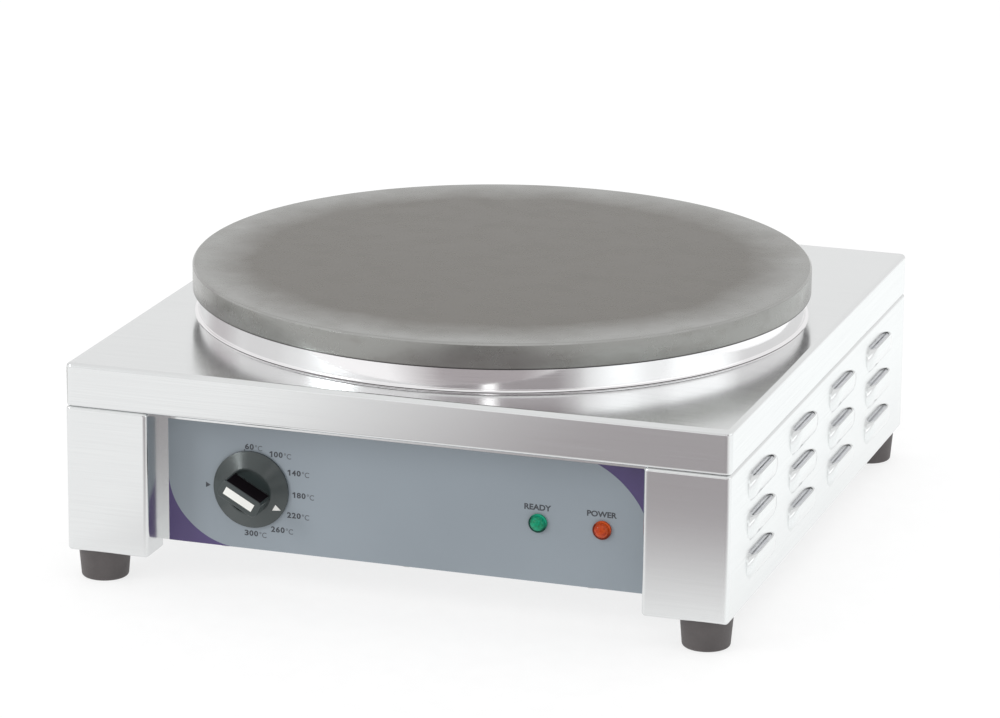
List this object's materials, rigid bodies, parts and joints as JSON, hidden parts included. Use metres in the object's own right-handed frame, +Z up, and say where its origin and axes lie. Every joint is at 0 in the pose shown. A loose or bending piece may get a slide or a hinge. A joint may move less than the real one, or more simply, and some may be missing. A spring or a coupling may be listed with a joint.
{
  "type": "electric crepe maker",
  "caption": "Countertop electric crepe maker: thick round plate on a low square stainless case with a recessed control fascia, louvred sides and rubber feet.",
  "frame": {"origin": "on the surface it stands on, under the middle of the case", "axes": "+Z up, +Y from the control fascia towards the back, +X to the right seen from the front"},
  "size_m": [0.4378, 0.44, 0.1745],
  "materials": {
    "stainless": "fine brushed",
    "polished_stainless": "polished",
    "plate_iron": "machined, seasoned",
    "overlay_film": "satin film, two purple corners",
    "knob_plastic": "semi-gloss",
    "white_plastic": "satin",
    "green_lens": "clear tinted",
    "orange_lens": "clear tinted",
    "foot_rubber": "matte",
    "galvanised": "galvanised",
    "fastener_steel": "zinc plated",
    "element_sheath": "heat tinted",
    "insulation": "mineral wool",
    "copper_parts": "bare",
    "dark_plastic": "moulded",
    "terminal_plastic": "moulded",
    "lead_insulation": "silicone"
  },
  "bodies": {
    "case": {"back_panel": "stainless", "base_nuts": "fastener_steel", "base_plate": "galvanised", "base_screws": "fastener_steel", "bonding_nut": "fastener_steel", "bonding_post": "fastener_steel", "bulb_clips": "fastener_steel", "cable_gland": "dark_plastic", "capillary_tube": "copper_parts", "collar_ring": "polished_stainless", "cover_nuts": "fastener_steel", "cover_screws": "fastener_steel", "element_clamp_plate": "galvanised", "element_link_live": "copper_parts", "element_link_neutral": "copper_parts", "fascia_overlay": "overlay_film", "foot_back_left": "foot_rubber", "foot_back_right": "foot_rubber", "foot_front_left": "foot_rubber", "foot_front_right": "foot_rubber", "foot_nuts": "fastener_steel", "foot_screws": "fastener_steel", "front_panel": "stainless", "gland_locknut": "dark_plastic", "griddle_plate": "plate_iron", "heater_pan": "galvanised", "heating_element_inner": "element_sheath", "heating_element_middle": "element_sheath", "heating_element_outer": "element_sheath", "insulation_disc": "insulation", "lamp_nuts": "fastener_steel", "lead_earth": "lead_insulation", "lead_neutral": "lead_insulation", "lead_supply_live": "lead_insulation", "lead_switched_live": "lead_insulation", "plate_studs": "fastener_steel", "power_lamp_body": "dark_plastic", "power_lamp_lens": "orange_lens", "ready_lamp_body": "dark_plastic", "ready_lamp_lens": "green_lens", "safety_cutout": "dark_plastic", "side_panel_left": "stainless", "side_panel_right": "stainless", "stud_nuts": "fastener_steel", "support_strap_back": "galvanised", "support_strap_front": "galvanised", "terminal_block": "terminal_plastic", "thermostat_body": "dark_plastic", "thermostat_bulb": "copper_parts", "thermostat_screws": "fastener_steel", "top_cover": "stainless"},
    "knob": {"control_knob": "knob_plastic", "knob_insert": "white_plastic", "knob_pointer": "white_plastic", "thermostat_shaft": "fastener_steel"}
  },
  "joints": [
    {"name": "knob_turn", "type": "hinge", "parent": "case", "child": "knob", "pos_m": [-0.1004, -0.19525, 0.0648], "axis": [0, -1, 0], "range_deg": [-56, 208]}
  ]
}
